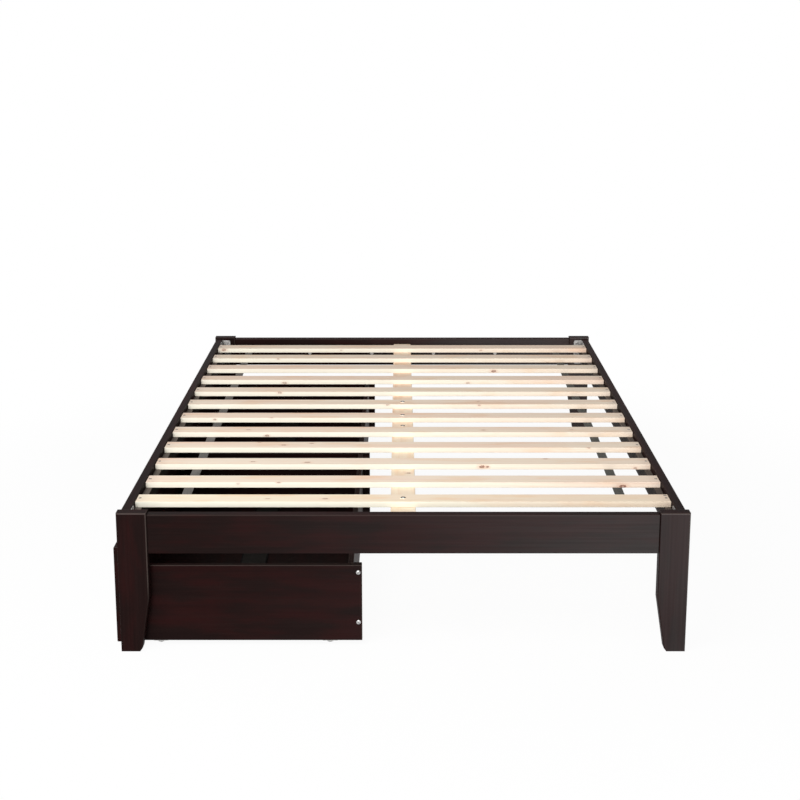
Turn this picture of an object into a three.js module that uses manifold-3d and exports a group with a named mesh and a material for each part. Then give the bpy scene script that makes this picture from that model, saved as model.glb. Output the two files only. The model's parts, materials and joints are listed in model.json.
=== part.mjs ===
// A full-size platform bed with two drawers that roll on the floor under its left side.
// Millimetres, +Z up. The foot end is at -Y, the head end at +Y, and the drawers open towards -X.
// The origin is on the floor, in the middle of the whole outline.
import * as THREE from "three";
import { mergeVertices } from "three/addons/utils/BufferGeometryUtils.js";
import Module from "manifold-3d";

const wasm = await Module();
wasm.setup();

// Whole bed
const bed_width = 1448; // over the legs
const bed_length = 1981;
const leg_height = 374.8;
const seat_gap = 0.3; // left between pieces that touch
const overrun = 1; // how far a cutting shape runs past the piece it cuts

// Legs
const leg_width = 76.2;
const leg_thickness = 32;
const leg_foot_width = 53; // where the taper meets the floor
const leg_taper_height = 145;
const leg_toe_width = 5; // small corner cut off at the floor
const leg_toe_height = 9;
const leg_ease = 3;

// Rails
const rail_height = 104.5;
const rail_below_leg_top = 5.3;
const rail_setback = 5; // from the outer faces of the legs
const end_rail_thickness = 25.4;
const side_rail_thickness = 22;
const rail_ease = 3;

// Slats, and the ledges they rest on
const slat_count = 12;
const slat_width = 57.15;
const slat_thickness = 15.5;
const slat_below_rail_top = 5;
const slat_end_gap = 1.2;
const slat_ease = 0.9;
const first_slat_gap = 23; // from the corner plate to the first slat
const ledge_width = 18;
const ledge_height = 42;
const ledge_end_gap = 4; // from the corner plate to the end of the ledge
const ledge_ease = 1.5;

// Beam under the middle of the slats
const beam_width = 65;
const beam_thickness = 35;
const beam_ease = 2;
const centre_leg_width = 45;
const centre_leg_spacing = 284;
const centre_leg_ease = 2;

// Straps under the slats
const strap_width = 26;
const strap_thickness = 1.8;
const strap_from_ledge = 86.7;
const strap_end_margin = 12; // short of the outer edge of the last slat

// Corner plates, bent from sheet steel
const plate_thickness = 2.5;
const plate_below_rail_top = 5.5;
const plate_above_rail_bottom = 7;
const plate_leg_arm = 31;
const plate_rail_arm = 60;
const plate_corner_radius = 7;
const plate_hole_radius = 3.6;
const plate_hole_inset = 21; // from the top and the bottom edge
const plate_hole_count = 2;

// Drawers
const drawer_gap = 5; // between the two fronts
const front_thickness = 22;
const front_leg_gap = 6;
const front_floor_gap = 10;
const front_rail_lap = 4.5; // the closed front rests against the foot of the side rail
const front_ease = 2;
const side_thickness = 15;
const side_below_rail = 45;
const side_leg_gap = 83.5; // from the back ends of the sides to the centre legs
const side_floor_gap = 13;
const side_inset = 2; // from the end of the front
const side_ease = 1.2;
const back_thickness = 14.5;
const back_inset = 21.5; // from the back ends of the sides
const block_top_drop = 6; // corner blocks stop short of the back's top edge
const block_width = 20;
const bottom_thickness = 6;
const groove_depth = 6;
const strip_width = 77;
const strip_thickness = 5;
const strip_from_front = 245;
const strip_ease = 0.8;

// Wheels of the drawers
const wheel_radius = 12.5;
const wheel_width = 10;
const wheel_side_gap = 0.5;
const wheel_top_gap = 1.6;
const wheel_ease = 1;
const wheel_from_front = 88;
const wheel_from_back = 84;
const axle_radius = 3;
const axle_play = 0.3;
const axle_head_radius = 5;
const axle_head_thickness = 1.5;
const bracket_thickness = 1.6;
const bracket_length = 38;
const bracket_floor_gap = 5;

// Places that several pieces share
const half_width = bed_width / 2;
const half_length = bed_length / 2;
const rail_top = leg_height - rail_below_leg_top;
const rail_bottom = rail_top - rail_height;
const slat_top = rail_top - slat_below_rail_top;
const slat_bottom = slat_top - slat_thickness;
const under_slats = slat_bottom - seat_gap;
const leg_back = half_length - leg_thickness; // inner faces of the legs, from the middle
const end_rail_inner = half_length - rail_setback - end_rail_thickness;
const side_rail_inner = half_width - rail_setback - side_rail_thickness;
const plate_height = rail_height - plate_below_rail_top - plate_above_rail_bottom;
const plate_end = leg_back - seat_gap - plate_rail_arm;
const slat_field = 2 * (plate_end - first_slat_gap); // over the outer edges of the end slats
const ledge_inner = side_rail_inner - seat_gap - ledge_width;
const front_inner = half_width - rail_setback + seat_gap; // inner faces of the drawer fronts
const side_back_end = centre_leg_width / 2 + side_leg_gap;
const side_length = front_inner - seat_gap - side_back_end;
const side_height = rail_bottom - side_below_rail - side_floor_gap;
const bottom_height = 2 * wheel_radius + wheel_top_gap + bracket_thickness + seat_gap;
const bottom_top = bottom_height + bottom_thickness;
const front_overhang = front_inner + front_thickness - half_width; // past the legs

// Colours and finishes of the real thing
function finish(color, roughness, metalness = 0) {
  return new THREE.MeshStandardMaterial({ color, roughness, metalness });
}
const dark_wood = finish(0x33261f, 0.42);
const ledge_wood = finish(0x4b4038, 0.6);
const pine = finish(0xe8d2b4, 0.62);
const beam_pine = finish(0xe0bf98, 0.66);
const webbing = finish(0x47474a, 0.9);
const sheet_steel = finish(0xb4b6b4, 0.35, 0.9);
const drawer_wood = finish(0x2e231f, 0.5);
const strip_wood = finish(0x4a3d35, 0.6);
const wheel_plastic = finish(0xbdbbb6, 0.5);
const bracket_steel = finish(0x8f9294, 0.4, 0.9);

const bed = new THREE.Group();
// The drawer fronts stand out on one side only, so the legs' middle is off the outline's middle.
bed.position.x = front_overhang / 2;

function add(name, geometry, material, x, y, z, parent = bed) {
  const mesh = new THREE.Mesh(geometry, material);
  mesh.name = name;
  mesh.position.set(x, y, z);
  parent.add(mesh);
  return mesh;
}

// An outline extruded along Z, centred on its depth, with both rims eased.
function easedExtrusion(outline, depth, ease, steps) {
  const geometry = new THREE.ExtrudeGeometry(outline, {
    depth: depth - 2 * ease,
    bevelThickness: ease,
    bevelSize: ease,
    bevelOffset: -ease,
    bevelSegments: steps,
    curveSegments: 1,
  });
  return geometry.translate(0, 0, ease - depth / 2);
}

function rectangle(width, height, radius) {
  const x = width / 2;
  const y = height / 2;
  const shape = new THREE.Shape();
  shape.moveTo(radius - x, -y);
  shape.lineTo(x - radius, -y);
  shape.absarc(x - radius, radius - y, radius, -Math.PI / 2, 0);
  shape.lineTo(x, y - radius);
  shape.absarc(x - radius, y - radius, radius, 0, Math.PI / 2);
  shape.lineTo(radius - x, y);
  shape.absarc(radius - x, y - radius, radius, Math.PI / 2, Math.PI);
  shape.lineTo(-x, radius - y);
  shape.absarc(radius - x, radius - y, radius, Math.PI, (3 * Math.PI) / 2);
  return shape;
}

// A board with all its edges eased: a rounded section run along X, Y or Z.
function board(size_x, size_y, size_z, ease, along) {
  const end_share = 0.5; // the end rims are eased less than the long edges
  const end_ease = ease * end_share;
  if (along === "x") {
    return easedExtrusion(rectangle(size_z, size_y, ease), size_x, end_ease, 1).rotateY(Math.PI / 2);
  }
  if (along === "y") {
    return easedExtrusion(rectangle(size_x, size_z, ease), size_y, end_ease, 1).rotateX(Math.PI / 2);
  }
  return easedExtrusion(rectangle(size_x, size_y, ease), size_z, end_ease, 1);
}

function solid(geometry) {
  const bare = geometry.clone();
  bare.deleteAttribute("normal");
  bare.deleteAttribute("uv");
  const merged = mergeVertices(bare);
  return new wasm.Manifold(
    new wasm.Mesh({
      numProp: 3,
      vertProperties: merged.attributes.position.array,
      triVerts: new Uint32Array(merged.index.array),
    }),
  );
}

function geometryOf(manifold) {
  const mesh = manifold.getMesh();
  const geometry = new THREE.BufferGeometry();
  geometry.setAttribute("position", new THREE.BufferAttribute(mesh.vertProperties, 3));
  geometry.setIndex(new THREE.BufferAttribute(mesh.triVerts, 1));
  const faces = geometry.toNonIndexed();
  faces.computeVertexNormals();
  return faces;
}

// Legs

// The outer edge is at x = 0 and the inner edge at x = leg_width, with the floor at y = 0.
function legOutline() {
  const outline = new THREE.Shape();
  const toe_slope = (leg_width - leg_foot_width) / leg_taper_height;
  outline.moveTo(0, 0);
  outline.lineTo(leg_foot_width - leg_toe_width, 0);
  outline.lineTo(leg_foot_width + toe_slope * leg_toe_height, leg_toe_height);
  outline.lineTo(leg_width, leg_taper_height);
  outline.lineTo(leg_width, leg_height);
  outline.lineTo(0, leg_height);
  return outline;
}

function addLegs() {
  for (const [end, end_sign] of [["foot", -1], ["head", 1]]) {
    for (const [side, side_sign] of [["left", -1], ["right", 1]]) {
      const geometry = easedExtrusion(legOutline(), leg_thickness, leg_ease, 3);
      geometry.rotateX(Math.PI / 2);
      if (side_sign > 0) {
        geometry.rotateZ(Math.PI);
      }
      const y = end_sign * (half_length - leg_thickness / 2);
      add(`leg_${end}_${side}`, geometry, dark_wood, side_sign * half_width, y, 0);
    }
  }
}

// Rails and ledges

function addRails() {
  const end_rail_length = bed_width - 2 * (leg_width + seat_gap);
  const side_rail_length = 2 * (leg_back - seat_gap);
  const rail_middle = rail_bottom + rail_height / 2;
  for (const [end, sign] of [["foot", -1], ["head", 1]]) {
    const geometry = board(end_rail_length, end_rail_thickness, rail_height, rail_ease, "x");
    const y = sign * (end_rail_inner + end_rail_thickness / 2);
    add(`rail_${end}`, geometry, dark_wood, 0, y, rail_middle);
  }
  for (const [side, sign] of [["left", -1], ["right", 1]]) {
    const geometry = board(side_rail_thickness, side_rail_length, rail_height, rail_ease, "y");
    const x = sign * (side_rail_inner + side_rail_thickness / 2);
    add(`rail_${side}`, geometry, dark_wood, x, 0, rail_middle);
  }
}

function addLedges() {
  const length = 2 * (plate_end - ledge_end_gap);
  for (const [side, sign] of [["left", -1], ["right", 1]]) {
    const geometry = board(ledge_width, length, ledge_height, ledge_ease, "y");
    const x = sign * (ledge_inner + ledge_width / 2);
    add(`ledge_${side}`, geometry, ledge_wood, x, 0, under_slats - ledge_height / 2);
  }
}

// Slats, beam and straps

function addSlats() {
  const length = 2 * (side_rail_inner - slat_end_gap);
  const pitch = (slat_field - slat_width) / (slat_count - 1);
  const last = (slat_field - slat_width) / 2;
  for (let i = 0; i < slat_count; i++) {
    const geometry = board(length, slat_width, slat_thickness, slat_ease, "x");
    const name = `slat_${String(i + 1).padStart(2, "0")}`;
    add(name, geometry, pine, 0, last - i * pitch, slat_bottom + slat_thickness / 2);
  }
}

function addBeam() {
  const length = 2 * (end_rail_inner - seat_gap);
  const beam_bottom = under_slats - beam_thickness;
  const beam = board(beam_width, length, beam_thickness, beam_ease, "y");
  add("centre_beam", beam, beam_pine, 0, 0, beam_bottom + beam_thickness / 2);
  const leg_length = beam_bottom - seat_gap;
  for (const [number, sign] of [[1, -1], [2, 1]]) {
    const leg = board(centre_leg_width, centre_leg_width, leg_length, centre_leg_ease, "z");
    add(`centre_leg_${number}`, leg, beam_pine, 0, (sign * centre_leg_spacing) / 2, leg_length / 2);
  }
}

function addStraps() {
  const length = slat_field - 2 * strap_end_margin;
  const from_middle = ledge_inner - strap_from_ledge - strap_width / 2;
  for (const [side, sign] of [["left", -1], ["right", 1]]) {
    const strap = new THREE.BoxGeometry(strap_width, length, strap_thickness);
    add(`strap_${side}`, strap, webbing, sign * from_middle, 0, under_slats - strap_thickness / 2);
  }
}

// Corner plates

// One arm of a plate, from the bend at x = 0 to its rounded free end, with its bolt holes.
function plateArm(length) {
  const r = plate_corner_radius;
  const shape = new THREE.Shape();
  shape.moveTo(0, 0);
  shape.lineTo(length - r, 0);
  shape.absarc(length - r, r, r, -Math.PI / 2, 0);
  shape.lineTo(length, plate_height - r);
  shape.absarc(length - r, plate_height - r, r, 0, Math.PI / 2);
  shape.lineTo(0, plate_height);
  const hole_pitch = (plate_height - 2 * plate_hole_inset) / (plate_hole_count - 1);
  for (let i = 0; i < plate_hole_count; i++) {
    const hole = new THREE.Path();
    const x = (length + plate_thickness) / 2;
    hole.absarc(x, plate_hole_inset + i * hole_pitch, plate_hole_radius, 0, 2 * Math.PI, true);
    shape.holes.push(hole);
  }
  return new THREE.ExtrudeGeometry(shape, {
    depth: plate_thickness,
    bevelEnabled: false,
    curveSegments: 4,
  });
}

// The bend is at the origin, one arm runs along +X against the leg and one along +Y against the rail.
function cornerPlate() {
  const leg_arm = plateArm(plate_leg_arm).rotateX(Math.PI / 2).translate(0, plate_thickness, 0);
  const rail_arm = plateArm(plate_rail_arm).rotateX(Math.PI / 2).rotateZ(Math.PI / 2);
  return geometryOf(solid(leg_arm).add(solid(rail_arm)));
}

// A quarter of the way round from each other, so that every plate faces the middle of the bed.
function addCornerPlates() {
  const z = rail_top - plate_below_rail_top - plate_height;
  const x = side_rail_inner - seat_gap;
  const y = leg_back - seat_gap;
  for (const [end, end_sign] of [["foot", -1], ["head", 1]]) {
    for (const [side, side_sign] of [["left", -1], ["right", 1]]) {
      const holder = new THREE.Group();
      holder.position.set(side_sign * x, end_sign * y, z);
      holder.scale.set(-side_sign, -end_sign, 1);
      bed.add(holder);
      add(`corner_plate_${end}_${side}`, cornerPlate(), sheet_steel, 0, 0, 0, holder);
    }
  }
}

// Drawers

// A side of a drawer: a board with the groove that holds the bottom.
function drawerSide(groove_face_sign) {
  const side = solid(board(side_length, side_thickness, side_height, side_ease, "x"));
  const groove_height = bottom_thickness + 2 * seat_gap;
  const groove_middle = bottom_height + bottom_thickness / 2 - side_floor_gap - side_height / 2;
  const groove = new THREE.BoxGeometry(side_length + 2 * overrun, groove_depth + overrun, groove_height);
  const y = groove_face_sign * (side_thickness / 2 + (overrun - groove_depth) / 2);
  groove.translate(0, y, groove_middle);
  return geometryOf(side.subtract(solid(groove)));
}

// The front, with the groove for the bottom between the two sides.
function drawerFront(length, height, inner_width) {
  const front = solid(board(front_thickness, length, height, front_ease, "y"));
  const groove_height = bottom_thickness + 2 * seat_gap;
  const groove_middle = bottom_height + bottom_thickness / 2 - front_floor_gap - height / 2;
  const groove = new THREE.BoxGeometry(groove_depth + overrun, inner_width + 2 * groove_depth, groove_height);
  groove.translate(front_thickness / 2 + (overrun - groove_depth) / 2, 0, groove_middle);
  return geometryOf(front.subtract(solid(groove)));
}

// The back rests on the bottom and has a block behind each end, which the side's screws hold.
function drawerBack(inner_width) {
  const height = side_floor_gap + side_height - bottom_top - seat_gap;
  const length = inner_width - 2 * seat_gap;
  const panel = board(back_thickness, length, height, side_ease, "y");
  let back = solid(panel);
  for (const sign of [-1, 1]) {
    const block_height = height - block_top_drop;
    const block_depth = back_inset - overrun;
    const block = new THREE.BoxGeometry(block_depth + back_thickness / 2, block_width, block_height);
    const x = (block_depth + back_thickness / 2) / 2;
    block.translate(x, (sign * (length - block_width)) / 2, (block_height - height) / 2);
    back = back.add(solid(block));
  }
  return geometryOf(back);
}

// A wheel with its axis along Z and its rim eased.
function wheel() {
  const half = wheel_width / 2;
  const bore_radius = axle_radius + axle_play;
  const profile = [
    [bore_radius, -half],
    [wheel_radius - wheel_ease, -half],
    [wheel_radius, wheel_ease - half],
    [wheel_radius, half - wheel_ease],
    [wheel_radius - wheel_ease, half],
    [bore_radius, half],
    [bore_radius, -half],
  ].map(([radius, height]) => new THREE.Vector2(radius, height));
  return new THREE.LatheGeometry(profile, 24);
}

// A wheel bracket: a plate on the side's inner face, a flange under the bottom and the axle.
// The plate's outer face is at y = 0, the axle along +Y at the origin.
function wheelBracket() {
  const plate_bottom = bracket_floor_gap - wheel_radius;
  const plate_top = bottom_height - seat_gap - wheel_radius;
  const plate = new THREE.BoxGeometry(bracket_length, bracket_thickness, plate_top - plate_bottom);
  plate.translate(0, bracket_thickness / 2, (plate_top + plate_bottom) / 2);
  const reach = bracket_thickness + 2 * wheel_side_gap + wheel_width;
  const flange = new THREE.BoxGeometry(bracket_length, reach, bracket_thickness);
  flange.translate(0, reach / 2, plate_top - bracket_thickness / 2);
  const axle = new THREE.CylinderGeometry(axle_radius, axle_radius, reach, 16);
  axle.translate(0, reach / 2, 0);
  const head = new THREE.CylinderGeometry(axle_head_radius, axle_head_radius, axle_head_thickness, 16);
  head.translate(0, reach + axle_head_thickness / 2, 0);
  const parts = [flange, axle, head].map(solid);
  return geometryOf(parts.reduce((whole, piece) => whole.add(piece), solid(plate)));
}

function addWheels(name, drawer, inner_half) {
  const places = [
    [wheel_from_front - front_inner, -1],
    [-side_back_end - wheel_from_back, -1],
    [wheel_from_front - front_inner, 1],
    [-side_back_end - wheel_from_back, 1],
  ];
  places.forEach(([x, sign], i) => {
    const plate_y = sign * (inner_half - seat_gap);
    const wheel_y = plate_y - sign * (bracket_thickness + wheel_side_gap + wheel_width / 2);
    const bracket = wheelBracket();
    if (sign > 0) {
      bracket.rotateZ(Math.PI);
    }
    add(`${name}_wheel_bracket_${i + 1}`, bracket, bracket_steel, x, plate_y, wheel_radius, drawer);
    add(`${name}_wheel_${i + 1}`, wheel(), wheel_plastic, x, wheel_y, wheel_radius, drawer);
  });
}

function addDrawer(name, end_sign) {
  const front_length = leg_back - front_leg_gap - drawer_gap / 2;
  const front_height = rail_bottom + front_rail_lap - front_floor_gap;
  const inner_half = front_length / 2 - side_inset - side_thickness;
  const inner_width = 2 * inner_half;
  const drawer = new THREE.Group();
  drawer.position.y = (end_sign * (drawer_gap + front_length)) / 2;
  bed.add(drawer);

  const front_x = -front_inner - front_thickness / 2;
  const front = drawerFront(front_length, front_height, inner_width);
  add(`${name}_front`, front, drawer_wood, front_x, 0, front_floor_gap + front_height / 2, drawer);

  const side_x = -side_back_end - side_length / 2;
  const side_y = inner_half + side_thickness / 2;
  const side_z = side_floor_gap + side_height / 2;
  add(`${name}_side_foot`, drawerSide(1), drawer_wood, side_x, -side_y, side_z, drawer);
  add(`${name}_side_head`, drawerSide(-1), drawer_wood, side_x, side_y, side_z, drawer);

  const back_outer = -side_back_end - back_inset;
  const back_height = side_floor_gap + side_height - bottom_top - seat_gap;
  const back_z = bottom_top + seat_gap + back_height / 2;
  add(`${name}_back`, drawerBack(inner_width), drawer_wood, back_outer - back_thickness / 2, 0, back_z, drawer);

  const bottom_front = seat_gap - front_inner - groove_depth;
  const bottom_length = back_outer - bottom_front;
  const bottom_width = inner_width + 2 * (groove_depth - seat_gap);
  const bottom = new THREE.BoxGeometry(bottom_length, bottom_width, bottom_thickness);
  const bottom_z = bottom_height + bottom_thickness / 2;
  add(`${name}_bottom`, bottom, drawer_wood, bottom_front + bottom_length / 2, 0, bottom_z, drawer);

  const strip = board(strip_width, inner_width - 2 * seat_gap, strip_thickness, strip_ease, "y");
  const strip_x = strip_from_front + strip_width / 2 - front_inner;
  const strip_z = bottom_top + seat_gap + strip_thickness / 2;
  add(`${name}_bottom_strip`, strip, strip_wood, strip_x, 0, strip_z, drawer);

  addWheels(name, drawer, inner_half);
}

addLegs();
addRails();
addLedges();
addSlats();
addBeam();
addStraps();
addCornerPlates();
addDrawer("drawer_1", -1);
addDrawer("drawer_2", 1);

export default bed;
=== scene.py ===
# %% [markdown]
# # A platform bed with two storage drawers
# The real bed is a low frame of dark stained boards. Twelve pale slats lie across it on two ledges and a
# beam, and two drawers on small wheels stand under its left half.
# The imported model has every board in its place, so this lesson never moves or reshapes one. It gives the
# boards their finishes, adds screws, bolts, caps and webbing, and sets up a plain white studio.

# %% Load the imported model
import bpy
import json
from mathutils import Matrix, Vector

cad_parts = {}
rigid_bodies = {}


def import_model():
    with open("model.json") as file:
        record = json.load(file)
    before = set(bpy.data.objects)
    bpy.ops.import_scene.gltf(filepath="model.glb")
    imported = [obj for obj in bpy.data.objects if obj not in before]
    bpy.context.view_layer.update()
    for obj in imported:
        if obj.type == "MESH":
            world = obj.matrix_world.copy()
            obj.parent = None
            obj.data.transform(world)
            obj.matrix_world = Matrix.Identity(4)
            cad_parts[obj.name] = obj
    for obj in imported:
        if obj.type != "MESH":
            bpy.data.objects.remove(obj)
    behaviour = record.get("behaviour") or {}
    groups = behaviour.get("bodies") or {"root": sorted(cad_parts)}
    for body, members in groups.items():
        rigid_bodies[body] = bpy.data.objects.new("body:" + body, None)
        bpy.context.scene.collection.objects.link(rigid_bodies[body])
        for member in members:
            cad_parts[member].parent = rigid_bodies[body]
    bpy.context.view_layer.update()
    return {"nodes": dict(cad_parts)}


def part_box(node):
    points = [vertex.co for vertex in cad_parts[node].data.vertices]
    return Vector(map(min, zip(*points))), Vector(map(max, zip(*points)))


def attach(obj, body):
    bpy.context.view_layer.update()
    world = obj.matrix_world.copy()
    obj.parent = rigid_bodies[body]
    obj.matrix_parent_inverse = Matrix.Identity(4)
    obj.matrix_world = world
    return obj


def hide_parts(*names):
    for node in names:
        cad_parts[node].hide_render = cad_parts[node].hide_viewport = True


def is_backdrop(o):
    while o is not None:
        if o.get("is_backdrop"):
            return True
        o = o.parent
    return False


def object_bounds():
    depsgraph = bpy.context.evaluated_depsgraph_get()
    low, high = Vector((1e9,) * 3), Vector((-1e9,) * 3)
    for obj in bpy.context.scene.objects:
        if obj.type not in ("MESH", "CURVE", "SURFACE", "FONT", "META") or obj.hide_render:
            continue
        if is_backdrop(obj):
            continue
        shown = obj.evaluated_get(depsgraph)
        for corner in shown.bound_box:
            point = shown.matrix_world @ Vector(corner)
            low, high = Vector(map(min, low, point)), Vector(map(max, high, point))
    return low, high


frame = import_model()
nodes = frame["nodes"]

# %% The tools that every later step uses
import json
import math
import random
import bpy
import bmesh
from mathutils import Matrix, Vector
scene = bpy.context.scene
scene.view_settings.view_transform = "Standard"

# %% A helper that puts an object into the scene
def put_in_scene(name, data):
    thing = bpy.data.objects.new(name, data)
    scene.collection.objects.link(thing)
    return thing

# %% [markdown]
# ## The camera
# The photograph looks straight along the bed from beyond its foot, from about the height of a standing
# person, and all upright edges stay upright in it. A camera that doesn't tilt, with its lens shifted down,
# would do that exactly. A large shift would push the object out of the other views, though, so this camera
# tilts down by most of the angle and keeps only a small shift. The corners land within a few pixels.

# %% Camera
camera_data = bpy.data.cameras.new("camera")
camera_data.sensor_width = 36
camera_data.lens = 63.04
camera_data.shift_y = -0.11
camera = put_in_scene("camera", camera_data)
camera.location = (0.0004, -4.3279, 1.6064)
tilt_down = 12.07
camera.rotation_euler = (math.radians(90 - tilt_down), 0, 0)
scene.camera = camera
print("camera at", tuple(round(v, 3) for v in camera.location), "looking down by", tilt_down, "degrees")

# %% [markdown]
# ## Building shader nodes in code
# Shader nodes can be clicked together in the editor, but code is easier to repeat. One helper makes any
# node and feeds its inputs: an input gets a wire if it is given a socket, and a plain value otherwise.
# A socket knows which tree of nodes it belongs to, so a node that follows on from one is put in its tree.
# Short helpers make the nodes that come back again and again.
# A finish that many boards share is a node group, built once and placed in each board's material with its
# own values. Every finish group puts out Color, Roughness and Height, so one last helper wires them all.

# %% Helpers for any shader node
def is_socket(value):
    return isinstance(value, bpy.types.NodeSocket)

def feed(node, feeds):
    for key, value in feeds.items():
        socket = node.inputs[key]
        if is_socket(value):
            node.id_data.links.new(value, socket)
        else:
            socket.default_value = (*value[:3], 1) if socket.type == "RGBA" else value

def add(tree, kind, feeds=None, **settings):
    node = tree.nodes.new("ShaderNode" + kind)
    for key, value in settings.items():
        setattr(node, key, value)
    feed(node, feeds or {})
    return node

def follow(kind, feeds, **settings):
    tree = next(value.id_data for value in feeds.values() if is_socket(value))
    return add(tree, kind, feeds, **settings)

# %% Helpers for sums
def maths(operation, *values):
    return follow("Math", dict(enumerate(values)), operation=operation).outputs[0]

def times(*values):
    return maths("MULTIPLY", *values)

def remap(value, low, high, to_low=0.0, to_high=1.0):
    feeds = {"Value": value, "From Min": low, "From Max": high, "To Min": to_low, "To Max": to_high}
    return follow("MapRange", feeds, interpolation_type="SMOOTHSTEP").outputs["Result"]

# %% Helpers for places and directions
def vectors(operation, *values):
    node = follow("VectorMath", dict(enumerate(values)), operation=operation)
    return node.outputs["Value" if operation in ("LENGTH", "DOT_PRODUCT") else "Vector"]

def object_place(tree):
    return add(tree, "TexCoord").outputs["Object"]

def object_facing(tree):
    return add(tree, "TexCoord").outputs["Normal"]

def axes(vector):
    return follow("SeparateXYZ", {0: vector}).outputs

# %% Helpers for noise and colour
def noise(vector, stretch, detail=2.0, colour=False):
    stretched = vectors("MULTIPLY", vector, stretch)
    node = follow("TexNoise", {"Vector": stretched, "Scale": 1.0, "Detail": detail})
    return node.outputs["Color" if colour else 0]

def blend(amount, first, second, how="MIX"):
    feeds = {0: amount, 6: first, 7: second}
    return follow("Mix", feeds, data_type="RGBA", blend_type=how).outputs[2]

# %% Helpers for shader node groups
# A colour input holds grey until a material gives its own.
grey = (0.5, 0.5, 0.5, 1)

def new_group(name, inputs):
    group = bpy.data.node_groups.new(name, "ShaderNodeTree")
    for label, value in inputs.items():
        kind = "Float" if isinstance(value, float) else {3: "Vector", 4: "Color"}[len(value)]
        socket = group.interface.new_socket(name=label, in_out="INPUT", socket_type="NodeSocket" + kind)
        socket.default_value = value
    return group, group.nodes.new("NodeGroupInput").outputs

def put_out(group, made):
    for label, socket in made.items():
        kind = "Color" if socket.type == "RGBA" else "Float"
        group.interface.new_socket(name=label, in_out="OUTPUT", socket_type="NodeSocket" + kind)
    feed(group.nodes.new("NodeGroupOutput"), made)
    print(group.name, "puts out", ", ".join(made))

def place_group(tree, group, feeds):
    return add(tree, "Group", feeds, node_tree=group).outputs

# %% Helpers for a new material
def new_material(name):
    material = bpy.data.materials.new(name)
    material.use_nodes = True
    tree = material.node_tree
    return material, tree, tree.nodes["Principled BSDF"]

def wire_up(shader, finish, relief, others, depth=0.0003):
    bump = follow("Bump", {"Strength": relief, "Distance": depth, "Height": finish["Height"]})
    feeds = {"Base Color": finish["Color"], "Roughness": finish["Roughness"], "Normal": bump.outputs[0]}
    feed(shader, {**feeds, **others})

# %% [markdown]
# ## The white studio
# The photograph has no visible room: the bed stands in even white. The world is a soft light that comes
# from all round, and rays from the camera, and those that metal reflects, see plain white in its place.
# Light Path tells the two kinds of ray apart, so the white costs no extra light on the bed.

# %% Which rays see the plain white
def sees_white(tree):
    path = add(tree, "LightPath").outputs
    either = maths("MAXIMUM", path["Is Camera Ray"], path["Is Glossy Ray"])
    return maths("MAXIMUM", either, path["Is Transmission Ray"])

# %% World
surround_light = 0.27
world = bpy.data.worlds.new("white studio")
world.use_nodes = True
sky = world.node_tree
sky.nodes.clear()
soft_light = add(sky, "Background", {"Color": (1.0, 0.985, 0.97, 1), "Strength": surround_light})
plain_white = add(sky, "Background", {"Color": (1, 1, 1, 1), "Strength": 1.0})
seen = add(sky, "MixShader", {0: sees_white(sky), 1: soft_light.outputs[0], 2: plain_white.outputs[0]})
add(sky, "OutputWorld", {"Surface": seen.outputs[0]})
scene.world = world
print("the world lights the bed at", surround_light)

# %% [markdown]
# ## The floor
# A white floor must look as white as the world behind it and still carry the bed's soft shadow. Pure glow
# loses the shadow, and a matt floor never gets quite as white. So the floor mixes the two for the camera:
# mostly glow, and a share of matt white that the bed can shade. Further out the share falls to nothing,
# which hides where the floor ends. Light that bounces off the floor is all matt.

# %% Floor
floor_mesh = bpy.data.meshes.new("floor")
floor_shape = bmesh.new()
bmesh.ops.create_circle(floor_shape, cap_ends=True, segments=96, radius=30)
floor_shape.to_mesh(floor_mesh)
floor_shape.free()
floor = put_in_scene("floor", floor_mesh)
floor.location.z = -0.0004
floor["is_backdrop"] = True

# %% Floor paint
shadow_share = 0.05
floor_paint = bpy.data.materials.new("floor white")
floor_paint.use_nodes = True
paint = floor_paint.node_tree
paint.nodes.clear()
matt = add(paint, "BsdfDiffuse", {"Color": (0.82, 0.81, 0.80, 1)})
bright_matt = add(paint, "BsdfDiffuse", {"Color": (0.98, 0.98, 0.98, 1)})
glow = add(paint, "Emission", {"Color": (1, 1, 1, 1), "Strength": 1.0})
from_middle = vectors("LENGTH", object_place(paint))
share = remap(from_middle, 1.1, 2.1, shadow_share, 0.0)
both = add(paint, "MixShader", {0: share, 1: glow.outputs[0], 2: bright_matt.outputs[0]})
shown = add(paint, "MixShader", {0: sees_white(paint), 1: matt.outputs[0], 2: both.outputs[0]})
add(paint, "OutputMaterial", {"Surface": shown.outputs[0]})
floor_mesh.materials.append(floor_paint)
print("floor", floor.dimensions.x, "m across, shadow share", shadow_share)

# %% [markdown]
# ## The lamps
# The slats in the photograph are brightest at the near left and fade towards the far right, while their
# front edges are equally bright all over. A large soft lamp high up at the near left gives the first, and
# a far, low one in front gives the second. A sun lamp stands for it, with a wide disc to keep its shadows
# soft: light from so far away doesn't fade along the bed.

# %% Lamps
key_data = bpy.data.lights.new("key", "AREA")
key_data.shape = "RECTANGLE"
key_data.size = 2.2
key_data.size_y = 1.8
key_data.energy = 71
key = put_in_scene("key", key_data)
key.location = (-1.2, -2.2, 2.7)
key.rotation_euler = (Vector((0.0, -0.2, 0.3)) - key.location).to_track_quat("-Z", "Y").to_euler()

front_data = bpy.data.lights.new("front fill", "SUN")
front_data.angle = math.radians(20)
front_data.energy = 1.63
front = put_in_scene("front fill", front_data)
front.rotation_euler = Vector((0.10, 1.0, -0.23)).to_track_quat("-Z", "Y").to_euler()

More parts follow.
